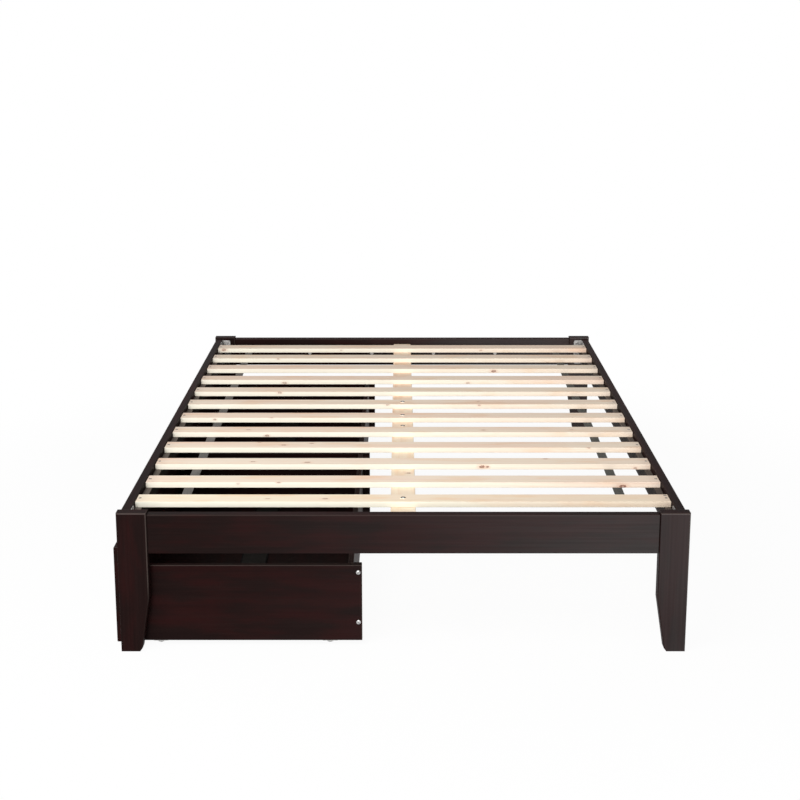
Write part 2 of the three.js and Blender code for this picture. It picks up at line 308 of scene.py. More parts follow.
# %% [markdown]
# ## Wood grain
# A tree grows in rings, and a board is a straight cut through them, so its faces show stripes, its ends
# show arcs, and both fit together at every edge. So this group works out, for any point in the board, how
# far it is from the middle of the log, and the rings follow. Its Vector has the grain along X. A slow noise
# bends the log, a very long thin noise gives the fibres, a shorter one the pores, and broad ones the
# patches and mottles where the wood takes up more stain.

# %% Group: wood figure
log_middle = (0.0, 0.03, -0.06)
figure_group, inputs = new_group("wood figure", {"Vector": (0, 0, 0), "Ring Width": 0.0035, "Waver": 0.012})
grain_place = inputs["Vector"]
bend = noise(grain_place, (0.9, 7, 7), colour=True)
bend = vectors("SUBTRACT", bend, (0.5, 0.5, 0.5))
waver = follow("VectorMath", {0: bend, "Scale": inputs["Waver"]}, operation="SCALE")
bent = vectors("ADD", grain_place, waver.outputs["Vector"])
from_log = vectors("SUBTRACT", bent, log_middle)
distance = vectors("LENGTH", vectors("MULTIPLY", from_log, (0, 1, 1)))
count = maths("DIVIDE", distance, inputs["Ring Width"])

# %% From the count of rings to the dark late wood
within = maths("FRACT", count)
rise = remap(within, 0.25, 0.92)
fall = remap(within, 0.93, 1.0, 1.0, 0.0)
year = maths("FLOOR", count)
each_year = follow("TexWhiteNoise", {"W": year}, noise_dimensions="1D").outputs["Value"]
dark_year = remap(each_year, 0.0, 1.0, 0.35, 1.0)
rings = times(times(rise, fall), dark_year)
pores = remap(noise(grain_place, (40, 1500, 1500), detail=1), 0.6, 0.72)
fibres = noise(grain_place, (5, 420, 420), detail=3)
patches = noise(grain_place, (1.7, 9, 9), detail=3)
mottle = noise(grain_place, (7, 30, 30), detail=2)
made = {"Rings": rings, "Fibres": fibres, "Pores": pores, "Patches": patches, "Mottle": mottle}
put_out(figure_group, made)

# %% [markdown]
# ## Worn edges and painted edge highlights
# Stain and lacquer are thin where an edge was sanded round, so dark furniture shows a paler line along its
# edges. The Bevel node gives the direction that the surface would have if its edges were rounded more.
# Where that differs from the real direction, there is an edge. A noise breaks the line up.
# Some edges are already rounded in the model, and the Bevel node finds little there. Their narrow faces
# slant between two of the bed's main directions, which gives them away. On the dark boards only the edges
# that look up or to the right, towards the light, are painted pale, so that line is partly wear and partly
# a painted highlight.

# %% Group: edge wear
edge_wear_and_highlight_group, inputs = new_group(
    "edge wear", {"Vector": (0, 0, 0), "Radius": 0.002, "Raggedness": 0.5, "Eased": 0.0})
rounded = follow("Bevel", {"Radius": inputs["Radius"]}, samples=4).outputs["Normal"]
straight = add(edge_wear_and_highlight_group, "NewGeometry").outputs["Normal"]
turned = maths("SUBTRACT", 1.0, vectors("DOT_PRODUCT", rounded, straight))
near_edge = remap(turned, 0.01, 0.16)
ragged = remap(noise(inputs["Vector"], (14, 60, 60), detail=3), 0.3, 0.7)
kept = maths("SUBTRACT", 1.0, times(inputs["Raggedness"], ragged))
sharp_edge = times(near_edge, kept)

# %% Sharp edges that look down or to the left, away from the light, are not painted pale
to_bed = {"vector_type": "NORMAL", "convert_from": "WORLD", "convert_to": "OBJECT"}
leans = axes(follow("VectorTransform", {0: rounded}, **to_bed).outputs[0])
away_from_light = remap(maths("MAXIMUM", leans["X"], leans["Z"]), 0.05, 0.2, 1.0, 0.0)
unlit_edges_left_out = times(away_from_light, inputs["Eased"])
sharp_edge = times(sharp_edge, maths("SUBTRACT", 1.0, unlit_edges_left_out))

# %% Edges that are round already
looks = axes(object_facing(edge_wear_and_highlight_group))
lengthways = maths("ABSOLUTE", looks["Y"])
leaves_side = remap(lengthways, 0.08, 0.2)
leaves_front = remap(lengthways, 0.97, 0.995, 1.0, 0.0)
along_edge = maths("ABSOLUTE", times(looks["X"], looks["Z"]))
along_edge = remap(along_edge, 0.28, 0.42)
slanting = maths("MAXIMUM", times(leaves_side, leaves_front), along_edge)
# Only edges that look up or to the right, towards the light, count here: a painted highlight.
towards_light = remap(maths("MAXIMUM", looks["X"], looks["Z"]), 0.1, 0.25)
eased_lit_edge = times(times(slanting, towards_light), inputs["Eased"])
put_out(edge_wear_and_highlight_group, {"Edge": maths("MAXIMUM", sharp_edge, eased_lit_edge)})

# %% [markdown]
# ## A place in the log for each board
# No two boards come from the same part of a log. Each board gets its own material, which reads its place on
# the board, turns it so that the grain runs along X, and adds an offset of its own.

# %% Reading a place along the grain
turns = {"x": ("X", "Y", "Z"), "y": ("Y", "X", "Z"), "z": ("Z", "X", "Y")}

def along_grain(tree, along, seed):
    place = axes(object_place(tree))
    order = dict(zip(("X", "Y", "Z"), (place[axis] for axis in turns[along])))
    turned = follow("CombineXYZ", order).outputs[0]
    dice = random.Random(seed)
    offset = (dice.uniform(-9, 9), dice.uniform(-0.04, 0.04), dice.uniform(-0.04, 0.04))
    return vectors("ADD", turned, offset)

# %% [markdown]
# ## Dark satin finish
# The frame and drawers are stained almost black-brown with a warm red in it, under a satin lacquer. The
# grain only just shows: the colour goes from a cool dark brown to a redder one in long soft mottles, with
# slightly lighter fibres and paler edges, partly wear and partly painted highlight. The lacquer is the coat
# of the Principled shader. In the photograph it gets fuller from the left of the bed to the right, and
# thinner near the floor. It is thin on faces that look up, because those are rubbed most, and on those that
# look left, all but the outer left side of the bed, which has an even satin of its own.

# %% Group: dark stain
stain_group, inputs = new_group(
    "dark stain", {"Vector": (0, 0, 0), "Red From": 0.0, "Red To": 1.0, "Worn": 0.5})
vector = inputs["Vector"]
figure = place_group(stain_group, figure_group, {"Vector": vector, "Ring Width": 0.006, "Waver": 0.02})
reach = maths("MULTIPLY_ADD", inputs["Worn"], 0.004, 0.002)
edge_values = {"Vector": vector, "Radius": reach, "Raggedness": 0.4, "Eased": 1.0}
edge = place_group(stain_group, edge_wear_and_highlight_group, edge_values)["Edge"]
patches = times(figure["Patches"], 0.45)
uptake = maths("MULTIPLY_ADD", figure["Mottle"], 0.55, patches)
redness = remap(uptake, 0.40, 0.62, inputs["Red From"], inputs["Red To"])
stain = blend(redness, (0.0100, 0.0052, 0.0048), (0.0190, 0.0052, 0.0050))
pale_fibres = times(remap(figure["Fibres"], 0.4, 0.8), 0.30)
stain = blend(pale_fibres, stain, (0.021, 0.012, 0.0108))
stain = blend(times(figure["Rings"], 0.22), stain, (0.0055, 0.0030, 0.0029))
# Paler edges: partly wear, partly a painted highlight on edges that look up or to the right.
stain = blend(times(edge, inputs["Worn"]), stain, (0.080, 0.061, 0.055))
satin = remap(figure["Fibres"], 0.2, 0.8, 0.40, 0.52)
relief = maths("SUBTRACT", figure["Fibres"], figure["Pores"])
put_out(stain_group, {"Color": stain, "Roughness": satin, "Height": relief})

# %% Group: lacquer cover
lacquer_group, inputs = new_group(
    "lacquer cover", {"Vector": (0, 0, 0), "Least": 0.03, "Most": 0.92, "Left Side": 0.0})
place = axes(object_place(lacquer_group))
fuller = remap(place["X"], -0.6, 0.9, inputs["Least"], inputs["Most"])
fuller = times(fuller, remap(place["Z"], 0.03, 0.25, 0.72, 1.0))
looks = axes(object_facing(lacquer_group))
rubbed = remap(looks["Z"], 0.1, 0.6, 1.0, 0.0)
shaded = remap(looks["X"], -0.7, -0.1, 0.1, 1.0)
coat = times(times(fuller, rubbed), shaded)
outer_left = remap(looks["X"], -0.95, -0.8, inputs["Left Side"], 0.0)
coat = maths("MAXIMUM", coat, outer_left)
uneven = remap(noise(inputs["Vector"], (0.8, 3, 3)), 0.3, 0.7, 0.8, 1.2)
streaks = noise(inputs["Vector"], (3, 180, 180), detail=2)
uneven = times(uneven, remap(streaks, 0.3, 0.7, 0.91, 1.09))
coat = maths("MAXIMUM", times(coat, uneven), 0.02)
put_out(lacquer_group, {"Coat": coat})

# %% Dark finish
def dark_finish(name, along, seed, red=0.5, least=0.03, most=0.92, edge_wear_and_highlight=0.5, left=0.0, low_edge_wear_and_highlight=None):
    material, tree, shader = new_material(name)
    grain = along_grain(tree, along, seed)
    # The pale edge line, partly wear and partly painted highlight, fades towards the floor.
    if low_edge_wear_and_highlight is not None:
        height = axes(object_place(tree))["Z"]
        edge_wear_and_highlight = remap(height, 0.12, 0.21, low_edge_wear_and_highlight, edge_wear_and_highlight)
    shades = {"Red From": max(0.0, red - 0.5), "Red To": min(1.0, red + 0.5)}
    stain = place_group(tree, stain_group, {"Vector": grain, "Worn": edge_wear_and_highlight, **shades})
    cover = {"Least": least, "Most": most, "Left Side": left}
    coat = place_group(tree, lacquer_group, {"Vector": grain, **cover})["Coat"]
    wire_up(shader, stain, 0.25, {"Coat Weight": coat, "Coat Roughness": 0.3, "Specular IOR Level": 0.01})
    return material

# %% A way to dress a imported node
def dress(node, material):
    slots = nodes[node].data.materials
    for i in range(len(slots)):
        slots[i] = material
    if not slots:
        slots.append(material)

# %% Legs and rails
left_satin = 0.25
grain_of = {"leg": "z", "rail_foot": "x", "rail_head": "x", "rail_left": "y", "rail_right": "y"}
redder = {"leg_foot_left": 0.6, "leg_foot_right": 0.15, "rail_foot": 0.35, "rail_head": 0.7}
dark_frame = sorted(n for n in nodes if n.startswith(("leg_", "rail_")))
edges_of = {"leg_foot": {"edge_wear_and_highlight": 0.65, "low_edge_wear_and_highlight": 0.05}, "leg_head": {"edge_wear_and_highlight": 0.3, "low_edge_wear_and_highlight": 0.05},
            "rail": {"edge_wear_and_highlight": 0.2}}
for seed, node in enumerate(dark_frame):
    along = grain_of["leg"] if node.startswith("leg") else grain_of[node]
    edges = edges_of[node.rsplit("_", 1)[0]]
    name = "dark " + node.replace("_", " ")
    left = left_satin if node.endswith("_left") else 0.0
    dress(node, dark_finish(name, along, 10 + seed, redder.get(node, 0.5), left=left, **edges))
print("dark frame boards:", len(dark_frame))

# %% Drawer boards
grain_of_drawer = {"front": "y", "side_foot": "x", "side_head": "x", "back": "y", "bottom": "y"}
coat_of_drawer = {"front": (0.03, 0.5), "side_foot": (0.03, 0.5), "side_head": (0.03, 0.5)}
for drawer in (1, 2):
    for seed, (board, along) in enumerate(grain_of_drawer.items()):
        coat = coat_of_drawer.get(board, (0.02, 0.2))
        red = 0.1 if board == "bottom" else 0.6
        left = left_satin if board == "front" else 0.0
        edge_wear_and_highlight = 0.75 if board.startswith("side") else 0.5
        name = f"dark drawer {drawer} {board}"
        finish = dark_finish(name, along, 40 + 10 * drawer + seed, red, *coat, edge_wear_and_highlight, left)
        dress(f"drawer_{drawer}_{board}", finish)
print("dark drawer boards:", 2 * len(grain_of_drawer))

# %% [markdown]
# ## Ledges and drawer strips
# The ledges that carry the slats are brown-grey on top: the same stain, wiped on thin and never lacquered.
# Their sides are painted dark, as painted shade. They use the same grain with lighter, greyer colours and
# no coat, and the direction that a face looks in chooses between the two. The strips on the drawer bottoms
# are darker, and a painted shadow line runs along both of their long edges, where they meet the bottom.

# %% Group: thin stain
thin_group, inputs = new_group(
    "thin stain", {"Vector": (0, 0, 0), "Dark": grey, "Light": grey, "Edge Share": 0.4})
vector, dark = inputs["Vector"], inputs["Dark"]
figure = place_group(thin_group, figure_group, {"Vector": vector, "Ring Width": 0.0045})
edge = place_group(thin_group, edge_wear_and_highlight_group, {"Vector": vector, "Radius": 0.0015})["Edge"]
mix = times(maths("ADD", figure["Fibres"], figure["Patches"]), 0.5)
stain = blend(remap(mix, 0.35, 0.65), dark, inputs["Light"])
stain = blend(times(figure["Rings"], 0.35), stain, dark)
stain = blend(times(edge, inputs["Edge Share"]), stain, (0.22, 0.17, 0.13))
facing_up = axes(object_facing(thin_group))["Z"]
# Painted shade: faces that don't look up are darkened.
painted_shade_on_sides = remap(facing_up, 0.3, 0.8, 0.85, 0.0)
stain = blend(painted_shade_on_sides, stain, (0.012, 0.008, 0.007))
dry = remap(figure["Fibres"], 0.2, 0.8, 0.6, 0.75)
relief = maths("SUBTRACT", figure["Fibres"], figure["Pores"])
put_out(thin_group, {"Color": stain, "Roughness": dry, "Height": relief})

# %% Group: painted shadow line
shadow_line_group, inputs = new_group("dirt line", {"Across": 0.0})
across_bed = axes(object_place(shadow_line_group))["X"]
aside = maths("ABSOLUTE", maths("SUBTRACT", across_bed, inputs["Across"]))
put_out(shadow_line_group, {"Line": remap(aside, 0.003, 0.006, 1.0, 0.0)})

# %% Thin stain
def thin_stain(name, along, seed, dark, light, seams=()):
    material, tree, shader = new_material(name)
    values = {"Dark": dark, "Light": light, "Edge Share": 0.1 if seams else 0.4}
    finish = place_group(tree, thin_group, {"Vector": along_grain(tree, along, seed), **values})
    stain = finish["Color"]
    for seam in seams:
        # A painted shadow line along each long edge of the strip.
        line = place_group(tree, shadow_line_group, {"Across": seam})["Line"]
        stain = blend(line, stain, (0.002, 0.0015, 0.0015))
    wire_up(shader, finish, 0.35, {"Base Color": stain, "Specular IOR Level": 0.05})
    return material

# %% Ledges and strips
ledge_dark = (0.075, 0.060, 0.051)
ledge_light = (0.15, 0.125, 0.108)
for seed, node in enumerate(("ledge_left", "ledge_right")):
    dress(node, thin_stain(node.replace("_", " "), "y", 80 + seed, ledge_dark, ledge_light))
strip_dark = (0.009, 0.008, 0.007)
strip_light = (0.015, 0.0135, 0.012)
for drawer in (1, 2):
    node = f"drawer_{drawer}_bottom_strip"
    seams = [corner[0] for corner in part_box(node)]
    dress(node, thin_stain(f"drawer {drawer} strip", "y", 90 + drawer, strip_dark, strip_light, seams))
print("ledges and strips stained")

# %% [markdown]
# ## Knots
# Softwood slats have small brown knots, where a branch grew through. A knot has a dark rim, a browner heart
# and a reddish halo, and it is stretched a little along the grain. The group measures how far a point is
# from the knot's middle, so each knot of the photograph can be put where it is, on the top or on the front
# edge of its slat.

# %% Group: knot
knot_group, inputs = new_group("knot", {"Place": (0, 0, 0), "Middle": (0, 0, 0), "Size": 0.005})
from_knot = vectors("SUBTRACT", inputs["Place"], inputs["Middle"])
from_knot = vectors("LENGTH", vectors("MULTIPLY", from_knot, (0.5, 1, 1)))
ripple = maths("SUBTRACT", noise(inputs["Place"], (260, 420, 420)), 0.5)
reach = maths("DIVIDE", from_knot, inputs["Size"])
reach = maths("ADD", reach, times(ripple, 1.2))
inside = remap(reach, 0.65, 0.95, 1.0, 0.0)
heart = remap(reach, 0.1, 0.6, 0.45, 1.0)
halo = remap(reach, 0.7, 2.4, 1.0, 0.0)
put_out(knot_group, {"Core": times(inside, heart), "Halo": halo})

# %% Where the photograph shows knots
# For each slat: the place along X, the place across the slat, the height, the radius, how dark it is.
knots_of = {
    1: [(-0.665, -0.029, 0.3595, 0.005, 0.8), (0.306, -0.029, 0.3576, 0.003, 0.4),
        (-0.222, -0.029, 0.3580, 0.003, 0.3)],
    2: [(-0.447, -0.029, 0.3626, 0.003, 0.5)],
    3: [(0.334, -0.029, 0.3561, 0.005, 0.9)],
    4: [(-0.399, -0.029, 0.3536, 0.0045, 0.6), (0.236, -0.029, 0.3536, 0.004, 0.5)],
    5: [(-0.402, -0.029, 0.3613, 0.004, 0.6)],
    6: [(-0.040, -0.029, 0.3628, 0.003, 0.45), (0.257, -0.029, 0.3612, 0.003, 0.5),
        (0.256, 0.007, 0.3645, 0.003, 0.5)],
    7: [(-0.580, -0.029, 0.3590, 0.003, 0.6), (-0.402, -0.026, 0.3645, 0.003, 0.5)],
    8: [(-0.402, -0.029, 0.3536, 0.0035, 0.8), (-0.461, -0.003, 0.3645, 0.004, 0.5),
        (0.254, -0.006, 0.3645, 0.004, 0.6), (0.523, -0.003, 0.3645, 0.003, 0.5)],
    9: [(0.551, -0.029, 0.3645, 0.003, 0.6), (-0.415, 0.022, 0.3645, 0.003, 0.5),
        (-0.341, -0.003, 0.3645, 0.0045, 0.7), (-0.260, 0.012, 0.3645, 0.004, 0.6)],
    10: [(0.231, -0.029, 0.3572, 0.0045, 1.0), (0.246, -0.029, 0.3566, 0.003, 0.9),
         (0.662, -0.029, 0.3530, 0.003, 0.6), (-0.415, -0.005, 0.3645, 0.004, 0.6),
         (-0.261, -0.011, 0.3645, 0.005, 0.7), (0.414, 0.021, 0.3645, 0.004, 0.6)],
    11: [(-0.437, -0.029, 0.3604, 0.003, 0.3), (-0.328, -0.029, 0.3645, 0.003, 0.7),
         (0.603, -0.029, 0.3528, 0.0055, 1.0)],
    12: [(-0.345, -0.005, 0.3645, 0.0035, 0.5), (-0.195, -0.005, 0.3645, 0.0045, 0.6)],
}
print("knots:", sum(len(knots) for knots in knots_of.values()))

# %% [markdown]
# ## Pale slats
# The slats are planed softwood with no finish: cream, with soft pinkish-beige bands of late wood, and a
# little greyer towards the sawn ends. Their narrow sides, which look along the bed, are painted whiter than
# the tops, most of all at the left, as painted light from the front and the left, so the colour also
# depends on which way a face looks. A coat would look like plastic here, so the surface is dry, and fine
# fibres in the bump break up the light.

# %% Group: bare softwood
softwood_group, inputs = new_group("bare softwood", {"Vector": (0, 0, 0), "Early": grey, "Late": grey})
vector, late = inputs["Vector"], inputs["Late"]
figure = place_group(softwood_group, figure_group, {"Vector": vector, "Ring Width": 0.0042, "Waver": 0.016})
wood = blend(times(figure["Rings"], 0.45), inputs["Early"], late)
pinker = remap(figure["Patches"], 0.42, 0.62)
wood = blend(pinker, wood, (1.0, 0.92, 0.91), "MULTIPLY")
streaks = times(remap(figure["Mottle"], 0.50, 0.68), 0.9)
wood = blend(streaks, wood, (0.985, 0.90, 0.83), "MULTIPLY")
dark_fibres = times(remap(figure["Fibres"], 0.45, 0.8), 0.22)
wood = blend(dark_fibres, wood, late)
dry = remap(figure["Fibres"], 0.2, 0.8, 0.6, 0.75)
relief = maths("MULTIPLY_ADD", figure["Rings"], 0.6, figure["Fibres"])
put_out(softwood_group, {"Color": wood, "Roughness": dry, "Height": relief})

# %% Group: slat sides and ends
painted_light_and_ends_group, inputs = new_group("slat painted side light and ends", {"Bed Middle": 0.0, "Half Length": 0.696})
lengthways = maths("ABSOLUTE", axes(object_facing(painted_light_and_ends_group))["Y"])
across_bed = axes(object_place(painted_light_and_ends_group))["X"]
from_middle = maths("ABSOLUTE", maths("SUBTRACT", across_bed, inputs["Bed Middle"]))
from_end = maths("SUBTRACT", inputs["Half Length"], from_middle)
end = remap(from_end, 0.0, 0.041, 1.0, 0.0)
# Painted light: sides that look along the bed are lightened, most of all towards the left.
painted_light_to_left = remap(across_bed, -0.25, 0.75, 1.0, 0.0)
side = times(remap(lengthways, 0.6, 0.95), painted_light_to_left)
put_out(painted_light_and_ends_group, {"White Side": side, "End": end})

# %% Pale finish
def pale_finish(name, along, seed, early, late, painted_side_light=0.0, knots=()):
    material, tree, shader = new_material(name)
    grain = along_grain(tree, along, seed)
    finish = place_group(tree, softwood_group, {"Vector": grain, "Early": early, "Late": late})
    wood = finish["Color"]
    if painted_side_light:
        sides = place_group(tree, painted_light_and_ends_group, {"Bed Middle": bed_middle, "Half Length": half_slat})
        # Painted light on the narrow sides, then the greyer sawn ends.
        wood = blend(times(sides["White Side"], painted_side_light), wood, (1.0, 0.98, 0.84))
        wood = blend(sides["End"], wood, (0.88, 0.88, 0.89), "MULTIPLY")
    for middle, size, strength in knots:
        knot = place_group(tree, knot_group, {"Place": object_place(tree), "Middle": middle, "Size": size})
        wood = blend(times(knot["Halo"], 0.4 * strength), wood, (0.72, 0.38, 0.25))
        wood = blend(times(knot["Core"], 0.9 * strength), wood, (0.22, 0.075, 0.045))
    wire_up(shader, finish, 0.25, {"Base Color": wood, "Specular IOR Level": 0.05})
    return material

# %% The middle of a packed board
def middle_of(node):
    return [(a + b) / 2 for a, b in zip(*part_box(node))]

# %% Slats
slat_early = (0.945, 0.815, 0.67)
slat_late = (0.82, 0.63, 0.495)
yellower_early = (0.955, 0.85, 0.665)
slat_names = sorted(n for n in nodes if n.startswith("slat_"))
slat_middles = {name: middle_of(name)[1] for name in slat_names}
slat_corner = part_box("slat_01")[1]
bed_middle = middle_of("slat_01")[0]
half_slat = slat_corner[0] - bed_middle
for number, name in enumerate(slat_names, 1):
    middle = slat_middles[name]
    knots = [((x, middle + across, z), size, strength) for x, across, z, size, strength in knots_of[number]]
    title = "pale " + name.replace("_", " ")
    # The slat next to the foot rail gets stronger painted light on its sides, to lift the rail's shade.
    early, painted_side_light = (yellower_early, 0.85) if name == "slat_12" else (slat_early, 0.7)
    dress(name, pale_finish(title, "x", 200 + number, early, slat_late, painted_side_light, knots))
print("slats:", len(slat_names), "each", round(2 * half_slat, 4), "m long")

# %% Beam and middle legs
beam_early = (0.96, 0.82, 0.64)
beam_late = (0.83, 0.60, 0.42)
beam_knot = [((0.0245, -0.597, 0.3487), 0.0038, 0.9)]
dress("centre_beam", pale_finish("peach beam", "y", 240, beam_early, beam_late, knots=beam_knot))
for number in (1, 2):
    finish = pale_finish(f"peach leg {number}", "z", 240 + number, beam_early, beam_late)
    dress(f"centre_leg_{number}", finish)
print("beam and middle legs done")

# %% [markdown]
# ## Zinc-plated steel
# The corner plates and small fittings are zinc-plated: pale grey, with faint crystal patches and a fine
# scratched grain. The patches come from Voronoi cells, each with its own tone and gloss.

# %% Group: zinc plating
zinc_group, inputs = new_group(
    "zinc plating", {"Vector": (0, 0, 0), "Crystal": 0.006, "Dark": grey, "Light": grey, "Smoothest": 0.3})
vector = inputs["Vector"]
cells = maths("DIVIDE", 1.0, inputs["Crystal"])
crystal = follow("TexVoronoi", {"Vector": vector, "Scale": cells}).outputs["Color"]
tone = follow("SeparateColor", {0: crystal}).outputs[0]
scratch = noise(vector, (60, 60, 1800))
edge = place_group(zinc_group, edge_wear_and_highlight_group, {"Vector": vector, "Radius": 0.0008})["Edge"]
colour = blend(tone, inputs["Dark"], inputs["Light"])
colour = blend(times(edge, 0.5), colour, (0.9, 0.9, 0.9))
wobble = maths("MULTIPLY_ADD", tone, 0.12, times(scratch, 0.15))
gloss = maths("ADD", wobble, inputs["Smoothest"])
put_out(zinc_group, {"Color": colour, "Roughness": gloss, "Height": scratch})

# %% Finishes with no grain to follow
def even_finish(name, group, values, relief, depth, others):
    material, tree, shader = new_material(name)
    finish = place_group(tree, group, {"Vector": object_place(tree), **values})
    wire_up(shader, finish, relief, others, depth)
    return material

# %% Steel finish
def steel_finish(name, dark, light, smoothest, crystal):
    values = {"Crystal": crystal, "Dark": dark, "Light": light, "Smoothest": smoothest}
    return even_finish(name, zinc_group, values, 0.15, 0.0002, {"Metallic": 1.0})

plate_steel = steel_finish("plate zinc", (0.20, 0.19, 0.185), (0.50, 0.485, 0.47), 0.35, 0.008)
bracket_steel = steel_finish("bracket steel", (0.34, 0.335, 0.33), (0.50, 0.49, 0.48), 0.3, 0.003)
bright_steel = steel_finish("bright screw steel", (0.33, 0.33, 0.325), (0.55, 0.545, 0.535), 0.22, 0.002)
dull_steel = steel_finish("dull screw steel", (0.17, 0.145, 0.125), (0.28, 0.245, 0.21), 0.32, 0.002)
polished_steel = steel_finish("polished bolt steel", (0.58, 0.57, 0.555), (0.76, 0.75, 0.735), 0.25, 0.004)
# The tool holes get painted shade: a dark steel that stands for the shade inside the hole.
painted_shade_steel = steel_finish("grimy tool holes", (0.03, 0.03, 0.03), (0.08, 0.078, 0.075), 0.6, 0.002)
for node in nodes:
    if node.startswith("corner_plate"):
        dress(node, plate_steel)
    elif "wheel_bracket" in node:
        dress(node, bracket_steel)
print("steel on", sum("plate" in n or "bracket" in n for n in nodes), "nodes")

# %% [markdown]
# ## Moulded plastic
# The wheels and the caps in the head rail are moulded. Mouldings are nearly one colour, so the life is in a
# faint cloud of tone, scuffs on the edges and a fine texture in the bump.

# %% Group: moulded plastic
moulded_group, inputs = new_group(
    "moulded plastic", {"Vector": (0, 0, 0), "Dark": grey, "Light": grey, "Scuff": grey})
vector = inputs["Vector"]
cloud = noise(vector, (90, 90, 90), detail=3)
edge_values = {"Vector": vector, "Radius": 0.0012, "Raggedness": 0.9}
edge = place_group(moulded_group, edge_wear_and_highlight_group, edge_values)["Edge"]
tone = blend(remap(cloud, 0.35, 0.65), inputs["Dark"], inputs["Light"])
tone = blend(times(edge, 0.5), tone, inputs["Scuff"])
gloss = remap(cloud, 0.3, 0.7, 0.35, 0.5)
texture = noise(vector, (900, 900, 900))
put_out(moulded_group, {"Color": tone, "Roughness": gloss, "Height": texture})

# %% Plastic finish
def moulded_plastic(name, dark, light, scuff):
    values = {"Dark": dark, "Light": light, "Scuff": scuff}
    return even_finish(name, moulded_group, values, 0.1, 0.0002, {"Specular IOR Level": 0.3})

wheel_plastic = moulded_plastic("wheel plastic", (0.46, 0.46, 0.45), (0.55, 0.55, 0.54), (0.25, 0.24, 0.23))
cap_plastic = moulded_plastic("cap plastic", (0.62, 0.61, 0.59), (0.74, 0.73, 0.71), (0.45, 0.43, 0.40))
wheels = [n for n in nodes if "wheel_" in n and "bracket" not in n]
for node in wheels:
    dress(node, wheel_plastic)
print("wheels:", len(wheels))

# %% [markdown]
# ## Screws and bolts
# A screw head is a turned shape, so its outline is spun round an axis like work on a lathe, and the slot,
# cross or hexagon for the tool is cut out with a Boolean modifier. Each kind of head is made once, in
# millimetres so that the cut stays exact, and then shrunk to metres. The faces of the hole get a second
# material, dark as painted shade, or a slot would hardly show in a white room. Every screw has a copy of
# its kind's mesh and a turn of its own.

# %% Helpers for building a mesh
def round_place(radius, angle, height=0.0):
    return radius * math.cos(angle), radius * math.sin(angle), height

def bridge(shape, lower, upper):
    for i in range(max(len(lower), len(upper))):
        j = i + 1
        below = [lower[i % len(lower)], lower[j % len(lower)]]
        above = [upper[j % len(upper)], upper[i % len(upper)]]
        shape.faces.new(list(dict.fromkeys(below + above)))

def to_mesh(name, shape):
    bmesh.ops.recalc_face_normals(shape, faces=shape.faces)
    mesh = bpy.data.meshes.new(name)
    shape.to_mesh(mesh)
    shape.free()
    return mesh

def smooth_in_metres(mesh, sharp_from):
    mesh.transform(Matrix.Scale(0.001, 4))
    for face in mesh.polygons:
        face.use_smooth = True
    mesh.set_sharp_from_angle(angle=math.radians(sharp_from))

# %% Spinning an outline
def spin_outline(name, outline):
    steps = 32
    shape = bmesh.new()
    rings = []
    for radius, height in outline:
        angles = [2 * math.pi * i / steps for i in range(steps if radius > 0 else 1)]
        rings.append([shape.verts.new(round_place(radius, a, height)) for a in angles])
    for lower, upper in zip(rings, rings[1:]):
        bridge(shape, lower, upper)
    return to_mesh(name, shape)

# %% A tapering tool hole
def tool_hole(points, top, depth):
    taper = 0.75
    overrun = 1
    shape = bmesh.new()
    above = [shape.verts.new((x, y, top + overrun)) for x, y in points]
    below = [shape.verts.new((x * taper, y * taper, top - depth)) for x, y in points]
    shape.faces.new(above)
    shape.faces.new(below[::-1])
    for i in range(len(points)):
        j = (i + 1) % len(points)
        shape.faces.new([above[j], above[i], below[i], below[j]])
    return to_mesh("tool hole", shape)

# %% Which faces line the hole
level = 0.99
steep = 0.4
hair = 0.01
floor_share = 0.8

def lines_hole(face, reach, top, depth):
    height = face.center.z
    in_hole = face.center.xy.length < reach and top - depth - hair < height < top - 2 * hair
    flat_floor = face.normal.z > level and height < top - floor_share * depth
    return in_hole and (flat_floor or abs(face.normal.z) < steep)

# %% Cutting the hole into the head
inside_share = 0.97

def cut_head(name, outline, points, top, depth):
    blank = put_in_scene(name, spin_outline(name, outline))
    cutter = put_in_scene("cutter", tool_hole(points, top, depth))
    cut = blank.modifiers.new("hole", "BOOLEAN")
    cut.operation = "DIFFERENCE"
    cut.solver = "EXACT"
    cut.object = cutter
    drawn = blank.evaluated_get(bpy.context.evaluated_depsgraph_get())
    mesh = bpy.data.meshes.new_from_object(drawn)
    for thing in (blank, cutter):
        bpy.data.objects.remove(thing)
    reach = min(max(math.hypot(x, y) for x, y in points), inside_share * max(r for r, z in outline))
    for face in mesh.polygons:
        face.material_index = int(lines_hole(face, reach, top, depth))
    painted_shade_faces = sum(face.material_index for face in mesh.polygons)
    print(name, "has", len(mesh.polygons), "faces,", painted_shade_faces, "of them in the tool hole")
    smooth_in_metres(mesh, 32)
    mesh.name = name
    return mesh

# %% Outlines of a domed head and of the tool holes
def dome(radius, height, foot):
    steps = 7
    fullness = 0.6
    curve = [math.pi / 2 * i / steps for i in range(steps)]
    side = [(radius * math.cos(a) ** fullness, foot + (height - foot) * math.sin(a)) for a in curve]
    return [(0, 0), (radius, 0)] + side + [(0, height)]

def slot_points(length, width):
    return [(-length, -width), (length, -width), (length, width), (-length, width)]

def cross_points(reach, width):
    corner = [(reach, -width), (reach, width), (width, width)]
    quarters = ((1, 0), (0, 1), (-1, 0), (0, -1))
    return [(x * c - y * s, x * s + y * c) for c, s in quarters for x, y in corner]

def hexagon_points(radius):
    return [round_place(radius, math.pi / 3 * i)[:2] for i in range(6)]

